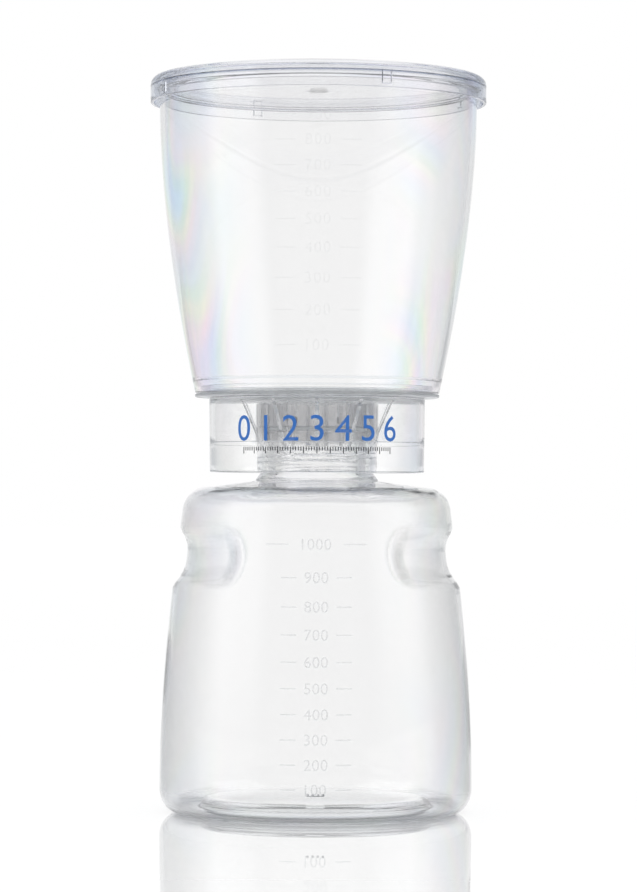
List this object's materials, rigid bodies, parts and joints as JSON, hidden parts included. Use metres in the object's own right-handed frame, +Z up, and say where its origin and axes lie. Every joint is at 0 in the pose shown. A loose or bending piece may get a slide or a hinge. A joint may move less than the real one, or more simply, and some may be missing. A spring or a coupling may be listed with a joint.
{
  "type": "vacuum filtration unit",
  "caption": "Clear vacuum filtration unit: lidded feeding cup on a screw collar with a drain plate and side port, over a receiver bottle with finger grips.",
  "frame": {"origin": "centre of the bottle's foot, on the surface it stands on", "axes": "+Z up along the bottle's neck, -Y to the front with the graduations, +Y to the side port at the back, +X to the right"},
  "size_m": [0.1292, 0.1292, 0.282],
  "materials": {
    "bottle_polystyrene": "clear polystyrene, glossy as moulded",
    "clear_polystyrene": "clear polystyrene, glossy as moulded",
    "gasket_rubber": "translucent white silicone, satin",
    "membrane_film": "white microporous film, matt",
    "plug_fibre": "white bonded fibre, matt",
    "print_blue": "blue screen-print ink, satin",
    "print_dark": "dark screen-print ink, satin"
  },
  "bodies": {
    "receiver": {"receiver_bottle": "bottle_polystyrene"},
    "seal": {"neck_gasket": "gasket_rubber"},
    "filter_top": {"collar": "clear_polystyrene", "port_plug": "plug_fibre", "hose_nipple": "clear_polystyrene", "membrane": "membrane_film", "membrane_ring": "clear_polystyrene", "feed_cup": "clear_polystyrene", "lid": "clear_polystyrene"}
  },
  "joints": [
    {"name": "seal_lift", "type": "slide", "parent": "receiver", "child": "seal", "axis": [0, 0, 1], "range_m": [0, 0.0063]},
    {"name": "top_unscrew", "type": "hinge", "parent": "seal", "child": "filter_top", "pos_m": [0, 0, 0.13], "axis": [0, 0, 1], "range_deg": [0, 540]}
  ],
  "couplings": [
    {"joint": "seal_lift", "follows": "top_unscrew", "m_per_rad": 0.00066845}
  ]
}
